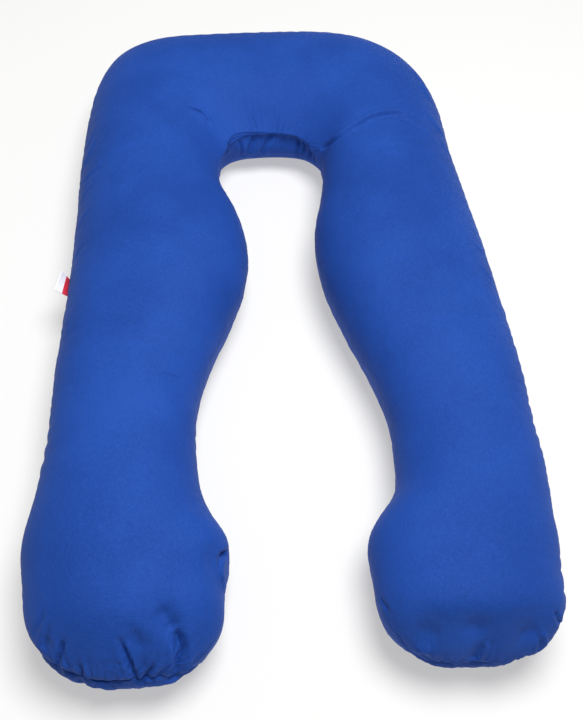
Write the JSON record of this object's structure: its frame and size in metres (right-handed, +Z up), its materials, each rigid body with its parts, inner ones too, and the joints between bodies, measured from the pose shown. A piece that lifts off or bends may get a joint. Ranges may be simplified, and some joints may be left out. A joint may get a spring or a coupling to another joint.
{
  "type": "pregnancy pillow",
  "caption": "U-shaped full-length body pillow: two long padded legs joined by a head bar, pinched knees, round foot ends, lying flat on its back panel.",
  "frame": {"origin": "on the surface it lies on, under the middle of its bounding box, in the gap between the legs", "axes": "+Y along the pillow from the foot ends to the head bar, +X across it to the right leg, +Z up through its thickness"},
  "size_m": [0.8274, 1.4511, 0.2022],
  "materials": {
    "cover": "plain royal blue cotton and polyester percale, smooth and matt",
    "label": "white woven satin ribbon with a plain red band beside the seam",
    "tag": "thin plain white ribbon"
  },
  "bodies": {
    "root": {"pillow": "cover", "seam_label": "label", "care_tag": "tag"}
  },
  "joints": []
}
